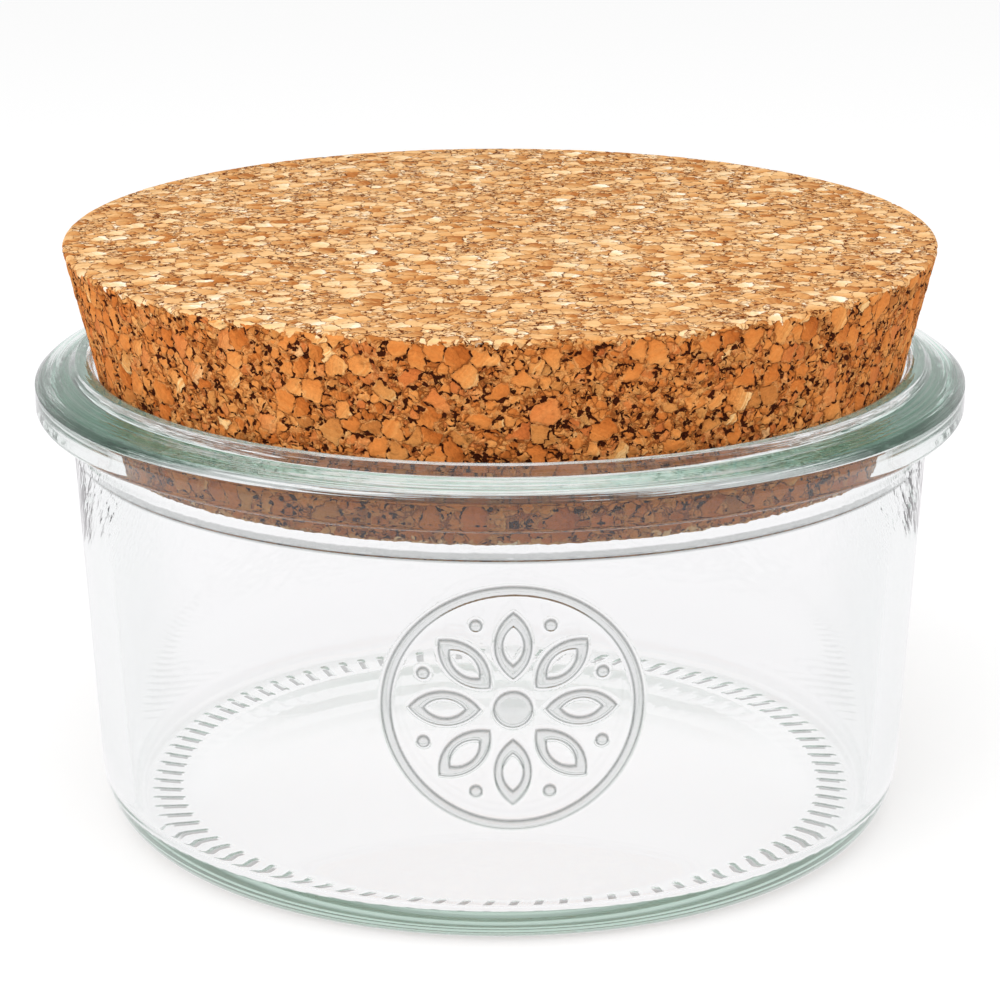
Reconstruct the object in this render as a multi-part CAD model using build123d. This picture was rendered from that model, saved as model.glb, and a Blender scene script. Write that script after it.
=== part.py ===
from build123d import *

import math
import os

# A low glass storage jar with a rounded rim, and the tapered cork that closes its mouth.
# The origin is the centre of the ring that the jar stands on. +Z points up, and the
# embossed rosette on the wall faces -Y. All lengths are in millimetres, angles in degrees.

# Jar, overall
RIM_DIAMETER = 108.0
JAR_HEIGHT = 55.0
WALL_THICKNESS = 3.1
WALL_DRAFT = 2.96
FLOOR_THICKNESS = 3.6
INNER_HEEL_RADIUS = 1.6

# Rim: a lip round the mouth, a valley, and a bead that slopes outwards and overhangs the wall
RIM_OVERHANG = 4.19
VALLEY_DEPTH = 1.0
BEAD_TURN_DEPTH = 1.9
BEAD_TURN_RADIUS = 2.5
BEAD_EDGE_DEPTH = 2.65
BEAD_DEPTH = 5.9
BEAD_UNDER_RADIUS = 0.9
RIM_EDGE_RADIUS = 0.3
MOUTH_EDGE_RADIUS = 1.2

# Neck: the short thick stretch between the bead and the wall
NECK_DEPTH = 6.2
NECK_STEP = 0.64
NECK_RADIUS = 1.2
SHOULDER_DEPTH = 10.2

# Places across the top of the rim, as shares of the way from the bore to the outer edge
LIP_SHARE = 0.29
VALLEY_SHARE = 0.416
BEAD_TURN_SHARE = 0.882

# Foot: a rounded heel, the ring that the jar stands on, and the domed panel inside it
HEEL_HEIGHT = 7.5
HEEL_WIDTH = 4.2
FOOT_RING_WIDTH = 5.8
FOOT_STEP_HEIGHT = 0.9
FOOT_STEP_RUN = 0.8
DOME_RISE = 0.5

# Knurls: rounded grooves cut across the inner part of the standing ring
KNURL_PITCH = 2.97
KNURL_WIDTH = 1.3
KNURL_DEPTH = 0.4
KNURL_LENGTH = 3.8

# Embossed rosette on the front of the wall
ROSETTE_RADIUS = 13.8
ROSETTE_CENTRE_SHARE = 0.557
ROSETTE_RELIEF = 0.5
ROSETTE_ROOT = 0.4
ROSETTE_LINE = 0.9
PETAL_COUNT = 8
PETAL_START = 3.5
PETAL_LENGTH = 7.4
PETAL_WIDTH = 3.8
PETAL_LINE = 0.75
EYE_RADIUS = 2.0
DOT_RADIUS = 0.6
DOT_CIRCLE_SHARE = 0.74

# Cork
CORK_STAND = 13.5
CORK_INSERTION = 9.6
CORK_TAPER = 13.4
CORK_CLEARANCE = 0.25
CORK_TOP_EDGE = 0.5
CORK_BOTTOM_EDGE = 0.8

# How far a cutting shape runs past the face that it cuts
OVERRUN = 0.5

RIM_RADIUS = RIM_DIAMETER / 2
SHOULDER_HEIGHT = JAR_HEIGHT - SHOULDER_DEPTH
SEAT_HEIGHT = JAR_HEIGHT - MOUTH_EDGE_RADIUS


def slope(angle):
    """Sideways run for each millimetre of height on a face that leans by this angle."""
    return math.tan(math.radians(angle))


def wall_radius(height):
    """Outer radius of the tapered wall at a height."""
    at_shoulder = RIM_RADIUS - RIM_OVERHANG
    return at_shoulder + (height - SHOULDER_HEIGHT) * slope(WALL_DRAFT)


def bore_radius(height):
    """Inner radius of the tapered wall, and of the mouth above it, at a height."""
    return wall_radius(height) - WALL_THICKNESS


def cork_radius(height):
    """Radius of the cork's cone: it clears the bore by the clearance where it seats."""
    at_seat = bore_radius(SEAT_HEIGHT) - CORK_CLEARANCE
    return at_seat + (height - SEAT_HEIGHT) * slope(CORK_TAPER)


def rounded_path(start, rounded_corners, end):
    """A path of straight runs, where each corner is given with its rounding."""
    points = [(radius, height) for radius, height, _ in rounded_corners]
    roundings = [rounding for _, _, rounding in rounded_corners]
    return FilletPolyline(start, *points, end, radius=roundings)


def upper_outline():
    """Floor, bore, rim, neck and wall, from the axis outwards and down to the heel."""
    mouth = bore_radius(JAR_HEIGHT)
    land = RIM_RADIUS - mouth
    at_shoulder = wall_radius(SHOULDER_HEIGHT)
    corners = [
        (bore_radius(FLOOR_THICKNESS), FLOOR_THICKNESS, INNER_HEEL_RADIUS),
        (mouth, JAR_HEIGHT, MOUTH_EDGE_RADIUS),
        (mouth + land * LIP_SHARE, JAR_HEIGHT, RIM_EDGE_RADIUS),
        (mouth + land * VALLEY_SHARE, JAR_HEIGHT - VALLEY_DEPTH, RIM_EDGE_RADIUS),
        (mouth + land * BEAD_TURN_SHARE, JAR_HEIGHT - BEAD_TURN_DEPTH, BEAD_TURN_RADIUS),
        (RIM_RADIUS, JAR_HEIGHT - BEAD_EDGE_DEPTH, RIM_EDGE_RADIUS),
        (RIM_RADIUS, JAR_HEIGHT - BEAD_DEPTH, BEAD_UNDER_RADIUS),
        (at_shoulder + NECK_STEP, JAR_HEIGHT - NECK_DEPTH, NECK_RADIUS),
        (at_shoulder, SHOULDER_HEIGHT, 0),
    ]
    return rounded_path((0, FLOOR_THICKNESS), corners, (wall_radius(HEEL_HEIGHT), HEEL_HEIGHT))


def foot_outline():
    """Heel, standing ring and domed panel, from the wall back to the axis."""
    ring_outside = wall_radius(HEEL_HEIGHT) - HEEL_WIDTH
    ring_inside = ring_outside - FOOT_RING_WIDTH
    panel_edge = (ring_inside - FOOT_STEP_RUN, FOOT_STEP_HEIGHT)
    dome_top = (0, FOOT_STEP_HEIGHT + DOME_RISE)
    heel = EllipticalCenterArc((ring_outside, HEEL_HEIGHT), HEEL_WIDTH, HEEL_HEIGHT, start_angle=-90)
    ring = Polyline((ring_outside, 0), (ring_inside, 0), panel_edge)
    dome = TangentArc(dome_top, panel_edge, tangent=(1, 0))
    axis = Line(dome_top, (0, FLOOR_THICKNESS))
    return heel + ring + dome + axis


def knurl_grooves():
    """One rounded groove for each knurl, lying radially across the standing ring."""
    ring_outside = wall_radius(HEEL_HEIGHT) - HEEL_WIDTH
    ring_inside = ring_outside - FOOT_RING_WIDTH
    start = ring_inside - FOOT_STEP_RUN - OVERRUN
    length = FOOT_STEP_RUN + OVERRUN + KNURL_LENGTH
    half_width = KNURL_WIDTH / 2
    cutter_radius = (half_width**2 + KNURL_DEPTH**2) / (2 * KNURL_DEPTH)
    cutter = Cylinder(cutter_radius, length, rotation=(0, 90, 0))
    cutter = Pos(start + length / 2, 0, KNURL_DEPTH - cutter_radius) * cutter
    count = round(2 * math.pi * ring_outside / KNURL_PITCH)
    return [Rot(0, 0, 360 * index / count) * cutter for index in range(count)]


def petal(start, length, width):
    """A pointed petal that lies along X, between two arcs."""
    end = start + length
    middle = start + length / 2
    upper = ThreePointArc((start, 0), (middle, width / 2), (end, 0))
    lower = ThreePointArc((end, 0), (middle, -width / 2), (start, 0))
    return make_face(upper + lower)


def petal_outline():
    """A petal drawn as a raised line of even width."""
    tip = PETAL_LINE * PETAL_LENGTH / PETAL_WIDTH
    inside = petal(PETAL_START + tip, PETAL_LENGTH - 2 * tip, PETAL_WIDTH - 2 * PETAL_LINE)
    return petal(PETAL_START, PETAL_LENGTH, PETAL_WIDTH) - inside


def rosette_drawing():
    """The flat pattern: a border ring, petals round an eye, and a dot between each two."""
    pattern = Circle(ROSETTE_RADIUS) - Circle(ROSETTE_RADIUS - ROSETTE_LINE)
    pattern += Circle(EYE_RADIUS)
    outline = petal_outline()
    dot = Pos(ROSETTE_RADIUS * DOT_CIRCLE_SHARE, 0) * Circle(DOT_RADIUS)
    step = 360 / PETAL_COUNT
    for index in range(PETAL_COUNT):
        pattern += Rot(0, 0, step * index) * outline
        pattern += Rot(0, 0, step * (index + 1 / 2)) * dot
    return pattern


def rosette():
    """The pattern raised from the wall, with its root sunk in the glass."""
    centre = HEEL_HEIGHT + (SHOULDER_HEIGHT - HEEL_HEIGHT) * ROSETTE_CENTRE_SHARE
    low = centre - ROSETTE_RADIUS - OVERRUN
    high = centre + ROSETTE_RADIUS + OVERRUN
    skin = Polyline(
        (wall_radius(low) - ROSETTE_ROOT, low),
        (wall_radius(low) + ROSETTE_RELIEF, low),
        (wall_radius(high) + ROSETTE_RELIEF, high),
        (wall_radius(high) - ROSETTE_ROOT, high),
        close=True,
    )
    skin = revolve(Plane.XZ * make_face(skin), Axis.Z)
    drawing = Plane.XZ * Pos(0, centre) * rosette_drawing()
    return skin & extrude(drawing, amount=RIM_RADIUS)


def glass_jar():
    """The jar in one piece of glass."""
    section = Plane.XZ * make_face(upper_outline() + foot_outline())
    jar = revolve(section, Axis.Z)
    jar -= knurl_grooves()
    return jar + rosette()


def cork_lid():
    """The cork: a cone with softened edges, part of it down in the mouth."""
    top = JAR_HEIGHT + CORK_STAND
    bottom = JAR_HEIGHT - CORK_INSERTION
    outline = FilletPolyline(
        (0, bottom),
        (cork_radius(bottom), bottom),
        (cork_radius(top), top),
        (0, top),
        radius=[0, CORK_BOTTOM_EDGE, CORK_TOP_EDGE, 0],
        close=True,
    )
    return revolve(Plane.XZ * make_face(outline), Axis.Z)


def main():
    os.makedirs("parts", exist_ok=True)
    pieces = {"glass_jar": glass_jar(), "cork_lid": cork_lid()}
    for name, piece in pieces.items():
        export_step(piece, f"parts/{name}.step")
        box = piece.bounding_box()
        print(name, "solids", len(piece.solids()), "volume", round(piece.volume), "size", box.size)
    print("cork radius at its top", round(cork_radius(JAR_HEIGHT + CORK_STAND), 2))
    print("bore radius at the floor", round(bore_radius(FLOOR_THICKNESS), 2))


main()
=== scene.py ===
"""A low glass storage jar with a tapered cork pressed into its mouth, in a plain pale studio.

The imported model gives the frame: both pieces stay where it has them, and this script only
dresses them. The jar becomes one closed, finely turned mesh with a knurled foot and a raised
rosette. The cork becomes one closed mesh of pressed granules.

Sizes in the classes are millimetres, as a maker would write them. Meshes are in metres.
"""

import logging
import math
from dataclasses import dataclass, field
from enum import Enum
from typing import Mapping, Sequence

import bpy
import numpy as np
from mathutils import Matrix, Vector


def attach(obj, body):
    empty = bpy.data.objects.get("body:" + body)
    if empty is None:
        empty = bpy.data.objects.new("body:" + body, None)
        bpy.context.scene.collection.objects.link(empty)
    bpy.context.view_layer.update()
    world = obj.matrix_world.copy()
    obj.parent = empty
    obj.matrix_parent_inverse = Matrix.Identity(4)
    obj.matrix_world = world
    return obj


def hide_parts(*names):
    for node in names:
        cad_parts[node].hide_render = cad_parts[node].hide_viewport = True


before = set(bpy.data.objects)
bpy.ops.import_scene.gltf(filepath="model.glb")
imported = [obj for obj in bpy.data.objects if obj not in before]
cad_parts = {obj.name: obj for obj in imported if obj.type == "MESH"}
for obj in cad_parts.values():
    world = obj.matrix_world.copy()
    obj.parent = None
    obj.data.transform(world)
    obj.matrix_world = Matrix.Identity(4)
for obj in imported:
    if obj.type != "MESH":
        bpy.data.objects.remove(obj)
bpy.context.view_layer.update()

log = logging.getLogger("glass_jar_scene")

MM = 0.001

FRONT_TURN = 0.75  # the front, -Y, lies three quarters of a turn round from +X
SAME_ANGLE = 1e-7
WHITE = (1.0, 1.0, 1.0, 1.0)

Point = tuple[float, float]
Span = tuple[float, float]  # a low and a high limit
Colour = tuple[float, float, float, float]


def srgb(red: int, green: int, blue: int) -> Colour:
    """A screen colour, each part from 0 to 255, as the linear colour that a shader takes."""
    parts = []
    for part in (red, green, blue):
        share = part / 255
        parts.append(share / 12.92 if share <= 0.04045 else ((share + 0.055) / 1.055) ** 2.4)
    return (*parts, 1.0)


class Signal:
    """One socket of a node tree as a Python value. Its operators add Math or Vector Math nodes."""

    def __init__(self, work: "NodeWork", socket: bpy.types.NodeSocket) -> None:
        """Wraps a socket.

        Args:
            work: The tree that the socket belongs to.
            socket: The output socket that carries the value.
        """
        self.work = work
        self.socket = socket

    def _join(self, operation: str, *values: "Signal | float") -> "Signal":
        """Adds one Math node, or a Vector Math node where a value has three parts."""
        wide = any(isinstance(value, Signal) and value.socket.type != "VALUE" for value in values)
        kind = "ShaderNodeVectorMath" if wide else "ShaderNodeMath"
        if wide:
            values = tuple(v if isinstance(v, Signal) else (v, v, v) for v in values)
        return self.work.signal(kind, {"operation": operation}, dict(enumerate(values)))

    def __add__(self, other: "Signal | float") -> "Signal":
        """self + other."""
        return self._join("ADD", self, other)

    def __radd__(self, other: "Signal | float") -> "Signal":
        """other + self."""
        return self._join("ADD", other, self)

    def __sub__(self, other: "Signal | float") -> "Signal":
        """self - other."""
        return self._join("SUBTRACT", self, other)

    def __rsub__(self, other: "Signal | float") -> "Signal":
        """other - self."""
        return self._join("SUBTRACT", other, self)

    def __mul__(self, other: "Signal | float") -> "Signal":
        """self * other."""
        return self._join("MULTIPLY", self, other)

    def __rmul__(self, other: "Signal | float") -> "Signal":
        """other * self."""
        return self._join("MULTIPLY", other, self)

    def __truediv__(self, other: "Signal | float") -> "Signal":
        """self / other."""
        return self._join("DIVIDE", self, other)

    def __rtruediv__(self, other: "Signal | float") -> "Signal":
        """other / self."""
        return self._join("DIVIDE", other, self)

    def __abs__(self) -> "Signal":
        """The value without its sign."""
        return self._join("ABSOLUTE", self)

    def least(self, other: "Signal | float") -> "Signal":
        """The smaller of two values."""
        return self._join("MINIMUM", self, other)

    def most(self, other: "Signal | float") -> "Signal":
        """The larger of two values."""
        return self._join("MAXIMUM", self, other)

    def above(self, limit: "Signal | float") -> "Signal":
        """1 where the value is above the limit, and 0 elsewhere."""
        return self._join("GREATER_THAN", self, limit)

    def root(self) -> "Signal":
        """The square root."""
        return self._join("SQRT", self)

    def nearest_whole(self) -> "Signal":
        """The nearest whole number."""
        return self._join("ROUND", self)

    def sine(self) -> "Signal":
        """The sine of an angle in radians."""
        return self._join("SINE", self)

    def cosine(self) -> "Signal":
        """The cosine of an angle in radians."""
        return self._join("COSINE", self)

    def angle_from(self, along: "Signal") -> "Signal":
        """The angle in radians of the point whose first coordinate is along, and second is self."""
        return self._join("ARCTAN2", self, along)

    def distance_to(self, other: "Signal") -> "Signal":
        """The length of the sloping side whose two legs are self and other."""
        return (self * self + other * other).root()

    def length(self) -> "Signal":
        """The length of a vector."""
        return self.work.signal("ShaderNodeVectorMath", {"operation": "LENGTH"}, {0: self}, "Value")

    def along(self, direction: "Signal") -> "Signal":
        """How far a vector reaches along a direction: their dot product."""
        settings = {"operation": "DOT_PRODUCT"}
        return self.work.signal("ShaderNodeVectorMath", settings, {0: self, 1: direction}, "Value")

    def parts(self) -> tuple["Signal", "Signal", "Signal"]:
        """The three parts of a vector or a colour."""
        node = self.work.add("ShaderNodeSeparateXYZ", sockets={0: self})
        return tuple(Signal(self.work, node.outputs[index]) for index in range(3))

    def step(self, low: "Signal | float", high: "Signal | float") -> "Signal":
        """A smooth step: 0 up to low, 1 from high on."""
        return self.work.signal(
            "ShaderNodeMapRange",
            {"interpolation_type": "SMOOTHSTEP"},
            {"Value": self, "From Min": low, "From Max": high},
        )

    def toward(self, other: "Signal | float", share: "Signal") -> "Signal":
        """The value that lies at this share of the way from self to other."""
        return self + (other - self) * share


class NodeWork:
    """Adds nodes to one tree of any kind, and wraps what comes out of them."""

    def __init__(self, tree: bpy.types.NodeTree) -> None:
        """Starts from an empty tree.

        Args:
            tree: The tree to build in. Nodes that it already holds are removed.
        """
        self.tree = tree
        tree.nodes.clear()

    def add(
        self,
        kind: str,
        settings: Mapping[str, object] | None = None,
        sockets: Mapping[str | int, object] | None = None,
    ) -> bpy.types.Node:
        """Adds one node of any type.

        Args:
            kind: Blender's name for the node's type.
            settings: Its properties, set first. "stops" is a ramp's list of place and colour.
            sockets: Its inputs, by name or number, each a plain value or a Signal to link.

        Returns:
            The new node.
        """
        node = self.tree.nodes.new(kind)
        for name, value in (settings or {}).items():
            if name == "stops":
                self._set_stops(node.color_ramp, value)
            else:
                setattr(node, name, value)
        for key, value in (sockets or {}).items():
            if isinstance(value, Signal):
                self.tree.links.new(value.socket, node.inputs[key])
            else:
                node.inputs[key].default_value = value
        return node

    @staticmethod
    def _set_stops(ramp: bpy.types.ColorRamp, stops: Sequence[tuple[float, Colour]]) -> None:
        """Gives a colour ramp its stops, in rising order."""
        while len(ramp.elements) < len(stops):
            ramp.elements.new(0.5)
        for element, (place, colour) in zip(ramp.elements, stops):
            element.position = place
            element.color = colour

    def signal(
        self,
        kind: str,
        settings: Mapping[str, object] | None = None,
        sockets: Mapping[str | int, object] | None = None,
        output: str | int = 0,
    ) -> Signal:
        """Adds one node and wraps one of its outputs.

        Args:
            kind: Blender's name for the node's type.
            settings: Its properties, as in add.
            sockets: Its inputs, as in add.
            output: The name or number of the output.

        Returns:
            The output as a Signal.
        """
        return Signal(self, self.add(kind, settings, sockets).outputs[output])

    def mix(
        self, share: Signal | float, first: object, second: object, blend: str = "MIX"
    ) -> Signal:
        """Mixes two colours.

        Args:
            share: How much of the second colour shows.
            first: A colour or a Signal.
            second: A colour or a Signal.
            blend: Blender's name for the way of mixing.

        Returns:
            The mixed colour.
        """
        settings = {"data_type": "RGBA", "blend_type": blend}
        return self.signal("ShaderNodeMix", settings, {0: share, 6: first, 7: second}, 2)

    def noise(self, place: Signal, size: float, detail: float = 2.0, output: int = 0) -> Signal:
        """Cloudy noise.

        Args:
            place: Where to read it, as a vector.
            size: How far apart its lumps are, in the units of place.
            detail: How many finer layers it has.
            output: 0 for a number, 1 for three numbers as a colour.

        Returns:
            The noise, from 0 to 1.
        """
        sockets = {"Vector": place, "Scale": 1 / size, "Detail": detail}
        return self.signal("ShaderNodeTexNoise", {}, sockets, output)

    def cells(self, place: Signal, size: Signal | float, feature: str, output: int) -> Signal:
        """Cells of random shape that fill space.

        Args:
            place: Where to read them, as a vector.
            size: How far apart their centres are, in the units of place.
            feature: "F1" for the cell itself, or "DISTANCE_TO_EDGE".
            output: 0 for a distance in cell sizes, 1 for the cell's own random colour, 2 for its
                centre in cell sizes.

        Returns:
            What was asked for.
        """
        sockets = {"Vector": place / size, "Scale": 1.0}
        return self.signal("ShaderNodeTexVoronoi", {"feature": feature}, sockets, output)

    def vector(
        self, x: Signal | float = 0.0, y: Signal | float = 0.0, z: Signal | float = 0.0
    ) -> Signal:
        """A vector from its three parts."""
        return self.signal("ShaderNodeCombineXYZ", {}, {0: x, 1: y, 2: z})

    def bump(self, height: Signal, distance: float) -> Signal:
        """The normal of a surface that a height, in units of the distance, roughens."""
        sockets = {"Strength": 1.0, "Distance": distance, "Height": height}
        return self.signal("ShaderNodeBump", {}, sockets)

    def close_material(self, surface: Mapping[str, object], **others: Signal) -> None:
        """Ends a material with one Principled surface.

        Args:
            surface: The sockets of the surface.
            others: The output's other sockets, such as Volume.
        """
        shown = self.signal("ShaderNodeBsdfPrincipled", {}, surface)
        self.add("ShaderNodeOutputMaterial", sockets={"Surface": shown, **others})


def new_material(name: str) -> tuple[bpy.types.Material, NodeWork]:
    """A new material, with the empty tree to build it in."""
    material = bpy.data.materials.new(name)
    material.use_nodes = True
    return material, NodeWork(material.node_tree)


def new_object(name: str, data: bpy.types.ID) -> bpy.types.Object:
    """An object for a mesh, a lamp or a camera, linked to the scene."""
    made = bpy.data.objects.new(name, data)
    bpy.context.scene.collection.objects.link(made)
    return made


class ReliefTree(NodeWork):
    """A Geometry Nodes tree that moves a mesh's points, with a named input for each size."""

    def __init__(self, name: str, sizes: Mapping[str, float]) -> None:
        """Makes the tree with its inputs.

        Args:
            name: The tree's name.
            sizes: Each input's name with its value.
        """
        super().__init__(bpy.data.node_groups.new(name, "GeometryNodeTree"))
        self.sizes = dict(sizes)
        interface = self.tree.interface
        interface.new_socket("Geometry", in_out="INPUT", socket_type="NodeSocketGeometry")
        for label in sizes:
            interface.new_socket(label, in_out="INPUT", socket_type="NodeSocketFloat")
        interface.new_socket("Geometry", in_out="OUTPUT", socket_type="NodeSocketGeometry")
        self.entry = self.add("NodeGroupInput")

    def size(self, label: str) -> Signal:
        """One of the tree's named inputs."""
        return Signal(self, self.entry.outputs[label])

    def place(self) -> Signal:
        """Each point's position, in millimetres."""
        return self.signal("GeometryNodeInputPosition") * (1 / MM)

    def finish(self, moved_to: Signal, material: bpy.types.Material) -> None:
        """Closes the tree: points move, instances are realised, and the material is set.

        Args:
            moved_to: Each point's new position, in millimetres.
            material: The piece's material.
        """
        mesh = Signal(self, self.entry.outputs["Geometry"])
        sockets = {"Geometry": mesh, "Position": moved_to * MM}
        mesh = self.signal("GeometryNodeSetPosition", {}, sockets)
        mesh = self.signal("GeometryNodeRealizeInstances", {}, {"Geometry": mesh})
        mesh = self.signal("GeometryNodeSetMaterial", {}, {"Geometry": mesh, "Material": material})
        self.add("NodeGroupOutput", sockets={"Geometry": mesh})

    def apply_to(self, piece: bpy.types.Object) -> None:
        """Runs the tree on a piece and leaves plain mesh, with no modifier on it.

        Args:
            piece: The mesh object to change.
        """
        modifier = piece.modifiers.new("relief", "NODES")
        modifier.node_group = self.tree
        for item in self.tree.interface.items_tree:
            if item.in_out == "INPUT" and item.name in self.sizes:
                modifier[item.identifier] = self.sizes[item.name]
        depsgraph = bpy.context.evaluated_depsgraph_get()
        plain = bpy.data.meshes.new_from_object(piece.evaluated_get(depsgraph), depsgraph=depsgraph)
        piece.modifiers.clear()
        piece.data = plain
        plain.shade_smooth()


@dataclass(frozen=True)
class Corner:
    """One corner of an outline, with the radius that rounds it."""

    radius: float
    height: float
    rounding: float = 0.0


def ellipse_arc(centre: Point, reach: Point, start: float, end: float, steps: int) -> list[Point]:
    """Points along part of an upright ellipse.

    Args:
        centre: Its centre, as radius and height.
        reach: Its half width and half height.
        start: Where it begins, in degrees from the outward side.
        end: Where it ends, in degrees.
        steps: How many pieces the arc has.

    Returns:
        The points, both ends among them.
    """
    turns = np.radians(np.linspace(start, end, steps + 1))
    return [(centre[0] + reach[0] * math.cos(t), centre[1] + reach[1] * math.sin(t)) for t in turns]


def rounded_outline(corners: Sequence[Corner], steps: int, guard: float = 0.12) -> list[Point]:
    """A run of straight lines whose corners are rounded, as points.

    Each straight run gets a point close to each of its ends, which keeps its shading flat.

    Args:
        corners: The corners in order. The first and last aren't rounded.
        steps: How many pieces a quarter turn of a rounding has.
        guard: How far from a rounding the extra points lie.

    Returns:
        The points of the outline.
    """
    outline = [(corners[0].radius, corners[0].height)]
    for before, corner, after in zip(corners, corners[1:], corners[2:]):
        here = np.array((corner.radius, corner.height))
        back = np.array((before.radius, before.height)) - here
        ahead = np.array((after.radius, after.height)) - here
        back, ahead = back / np.linalg.norm(back), ahead / np.linalg.norm(ahead)
        half = math.acos(float(np.clip(back @ ahead, -1, 1))) / 2
        inward = (back + ahead) / np.linalg.norm(back + ahead)
        centre = here + inward * corner.rounding / math.sin(half)
        first = here + back * corner.rounding / math.tan(half)
        last = here + ahead * corner.rounding / math.tan(half)
        start = math.atan2(*(first - centre)[::-1])
        turn = (math.atan2(*(last - centre)[::-1]) - start + math.pi) % (2 * math.pi) - math.pi
        count = max(2, math.ceil(abs(turn) / (math.pi / 2) * steps))
        outline.append(tuple(first + back * guard))
        for angle in start + turn * np.linspace(0, 1, count + 1):
            spoke = np.array((math.cos(angle), math.sin(angle)))
            outline.append(tuple(centre + corner.rounding * spoke))
        outline.append(tuple(last + ahead * guard))
    outline.append((corners[-1].radius, corners[-1].height))
    return outline


Chain = list[tuple[int, float]]


class TurnedMesh:
    """A closed body of revolution, whose rings may have different numbers of points."""

    def __init__(self) -> None:
        """Starts with no points and no faces."""
        self.points: list[tuple[float, float, float]] = []
        self.faces: list[tuple[int, ...]] = []

    def point(self, radius: float, height: float, angle: float) -> int:
        """Adds one point, given in millimetres and radians, and returns its number."""
        across, along = radius * math.cos(angle), radius * math.sin(angle)
        self.points.append((across * MM, along * MM, height * MM))
        return len(self.points) - 1

    def ring(self, radius: float, height: float, angles: Sequence[float]) -> Chain:
        """Adds a ring, or one point on the axis.

        Args:
            radius: The ring's radius. Zero gives a single point.
            height: Its height.
            angles: Where its points lie, in radians, in rising order.

        Returns:
            Each point's number and angle, with the first repeated one turn on.
        """
        if radius <= 0:
            return [(self.point(0, height, 0), 0.0)]
        chain = [(self.point(radius, height, angle), angle) for angle in angles]
        return chain + [(chain[0][0], chain[0][1] + 2 * math.pi)]

    def bridge(self, first: Chain, second: Chain) -> None:
        """Joins two chains of points with quads where they match and triangles elsewhere.

        Args:
            first: The chain that comes first along the outline.
            second: The next one.
        """
        if len(first) == 1:
            self.faces += [(first[0][0], a[0], b[0]) for a, b in zip(second, second[1:])]
            return
        if len(second) == 1:
            self.faces += [(a[0], second[0][0], b[0]) for a, b in zip(first, first[1:])]
            return
        near, far = 0, 0
        while near < len(first) - 1 or far < len(second) - 1:
            next_near = first[near + 1][1] if near < len(first) - 1 else math.inf
            next_far = second[far + 1][1] if far < len(second) - 1 else math.inf
            here = (first[near][0], second[far][0])
            if abs(next_near - next_far) < SAME_ANGLE:
                self.faces.append((*here, second[far + 1][0], first[near + 1][0]))
                near, far = near + 1, far + 1
            elif next_near < next_far:
                self.faces.append((*here, first[near + 1][0]))
                near += 1
            else:
                self.faces.append((*here, second[far + 1][0]))
                far += 1

    def bridge_all(self, chains: Sequence[Chain]) -> None:
        """Joins each chain of points to the next."""
        for first, second in zip(chains, chains[1:]):
            self.bridge(first, second)

    def piece(self, name: str) -> bpy.types.Object:
        """Makes the object, smooth shaded, and links it to the scene.

        Args:
            name: The piece's name.

        Returns:
            The new object.
        """
        mesh = bpy.data.meshes.new(name)
        mesh.from_pydata(self.points, [], self.faces)
        mesh.shade_smooth()
        return new_object(name, mesh)


def even_angles(count: int) -> list[float]:
    """The angles of a number of points spread evenly round a circle."""
    return [2 * math.pi * index / count for index in range(count)]


@dataclass(frozen=True)
class Knurls:
    """Rounded grooves that lie radially across the inner part of the standing ring."""

    count: int = 93
    width: float = 1.2
    depth: float = 0.10
    inner_radius: float = 38.6
    outer_radius: float = 42.2
    end_slope: float = 0.35
    bar_end: float = 41.2
    twist: float = 0.22
    # Painted shade: dark lines along the grooves, standing in for the dark that the glass refracts
    # there.
    groove_painted_shade: Colour = (0.0, 0.0, 0.0, 1.0)
    groove_shade_width: float = 1.1
    groove_shade_core_share: float = 0.7
    groove_shade_fade: float = 0.3
    groove_shade_ceiling: float = 1.0
    groove_shade_share: float = 0.80

    def sizes(self) -> dict[str, float]:
        """The named inputs that a tree needs for them."""
        return {
            "Knurl Count": self.count,
            "Knurl Width": self.width,
            "Knurl Depth": self.depth,
            "Knurl Inner Radius": self.inner_radius,
            "Knurl Outer Radius": self.outer_radius,
        }

    def ceiling(self, tree: ReliefTree, place: Signal) -> Signal:
        """The height of the grooves' roof above the standing plane, 0 between grooves.

        Args:
            tree: The tree with the named inputs.
            place: Each point's position, in millimetres.

        Returns:
            The height in millimetres.
        """
        across, along, _ = place.parts()
        radius = across.distance_to(along)
        aside = self._aside(place, tree.size("Knurl Count"))
        share = aside / (tree.size("Knurl Width") / 2)
        roof = (1 - share * share).most(0.0) * tree.size("Knurl Depth")
        outer = tree.size("Knurl Outer Radius")
        inner = radius.above(tree.size("Knurl Inner Radius"))
        return roof * (inner * (1 - radius.step(outer - self.end_slope, outer)))

    def _aside(self, place: Signal, count: Signal | float) -> Signal:
        """How far a point lies from the middle line of the nearest groove, in millimetres."""
        across, along, _ = place.parts()
        radius = across.distance_to(along)
        pitch = 2 * math.pi / count
        turn = along.angle_from(across) / pitch
        turn = turn + (radius - self.inner_radius) * self.twist / radius / pitch
        return abs(turn - turn.nearest_whole()) * pitch * radius

    def shade(self, place: Signal) -> Signal:
        """The painted shade of a groove: a dark line that stands in for the dark the glass refracts
        there. It is the same all round the ring and in every view.

        Args:
            place: The point's position, in millimetres.

        Returns:
            The share of painted shade.
        """
        across, along, height = place.parts()
        radius = across.distance_to(along)
        half = self.groove_shade_width / 2
        line = 1 - self._aside(place, self.count).step(half * self.groove_shade_core_share, half)
        within = radius.step(self.inner_radius, self.inner_radius + self.groove_shade_fade)
        within = within * (1 - radius.step(self.bar_end, self.bar_end + self.groove_shade_fade))
        return line * within * self.groove_shade_share * (1 - height.above(self.groove_shade_ceiling))


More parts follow.
